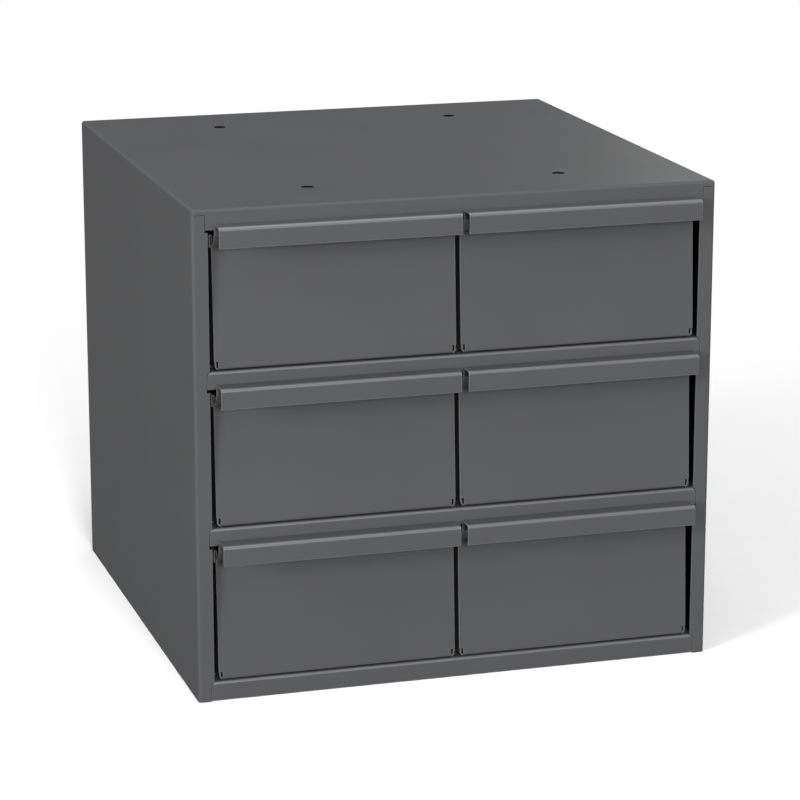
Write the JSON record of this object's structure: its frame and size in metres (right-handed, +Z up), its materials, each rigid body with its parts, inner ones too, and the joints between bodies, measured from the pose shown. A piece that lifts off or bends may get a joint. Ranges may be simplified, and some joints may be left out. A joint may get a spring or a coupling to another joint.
{
  "type": "small parts drawer cabinet",
  "caption": "Low sheet-steel parts cabinet: wrapped casing, folded shelves, and two columns of sliding drawers with full-width folded handle lips; bolt holes in the top.",
  "frame": {"origin": "on the ground, at the middle of the closed cabinet's bounding box, handles included", "axes": "+X to the right seen from the front, +Y from the drawer fronts to the back, +Z up"},
  "size_m": [0.2984, 0.3074, 0.2762],
  "materials": {
    "casing_paint": "satin dark grey paint",
    "drawer_paint": "satin dark grey paint",
    "guide_paint": "satin dark grey paint, rubbed where drawers slide"
  },
  "bodies": {
    "casing": {"casing_wrap": "casing_paint", "back_panel": "casing_paint", "base_shelf": "casing_paint", "stop_angle_bottom": "guide_paint", "centre_guide_bottom": "guide_paint", "side_guide_bottom_left": "guide_paint", "side_guide_bottom_right": "guide_paint", "lower_shelf": "casing_paint", "stop_angle_middle": "guide_paint", "centre_guide_middle": "guide_paint", "side_guide_middle_left": "guide_paint", "side_guide_middle_right": "guide_paint", "upper_shelf": "casing_paint", "stop_angle_top": "guide_paint", "centre_guide_top": "guide_paint", "side_guide_top_left": "guide_paint", "side_guide_top_right": "guide_paint"},
    "drawer_bottom_left": {"drawer_bottom_left_tray": "drawer_paint", "drawer_bottom_left_front": "drawer_paint", "drawer_bottom_left_back": "drawer_paint"},
    "drawer_bottom_right": {"drawer_bottom_right_tray": "drawer_paint", "drawer_bottom_right_front": "drawer_paint", "drawer_bottom_right_back": "drawer_paint"},
    "drawer_middle_left": {"drawer_middle_left_tray": "drawer_paint", "drawer_middle_left_front": "drawer_paint", "drawer_middle_left_back": "drawer_paint"},
    "drawer_middle_right": {"drawer_middle_right_tray": "drawer_paint", "drawer_middle_right_front": "drawer_paint", "drawer_middle_right_back": "drawer_paint"},
    "drawer_top_left": {"drawer_top_left_tray": "drawer_paint", "drawer_top_left_front": "drawer_paint", "drawer_top_left_back": "drawer_paint"},
    "drawer_top_right": {"drawer_top_right_tray": "drawer_paint", "drawer_top_right_front": "drawer_paint", "drawer_top_right_back": "drawer_paint"}
  },
  "joints": [
    {"name": "drawer_bottom_left_slide", "type": "slide", "parent": "casing", "child": "drawer_bottom_left", "axis": [0, -1, 0], "range_m": [0, 0.2386]},
    {"name": "drawer_bottom_right_slide", "type": "slide", "parent": "casing", "child": "drawer_bottom_right", "axis": [0, -1, 0], "range_m": [0, 0.2386]},
    {"name": "drawer_middle_left_slide", "type": "slide", "parent": "casing", "child": "drawer_middle_left", "axis": [0, -1, 0], "range_m": [0, 0.2386]},
    {"name": "drawer_middle_right_slide", "type": "slide", "parent": "casing", "child": "drawer_middle_right", "axis": [0, -1, 0], "range_m": [0, 0.2386]},
    {"name": "drawer_top_left_slide", "type": "slide", "parent": "casing", "child": "drawer_top_left", "axis": [0, -1, 0], "range_m": [0, 0.2386]},
    {"name": "drawer_top_right_slide", "type": "slide", "parent": "casing", "child": "drawer_top_right", "axis": [0, -1, 0], "range_m": [0, 0.2386]}
  ]
}
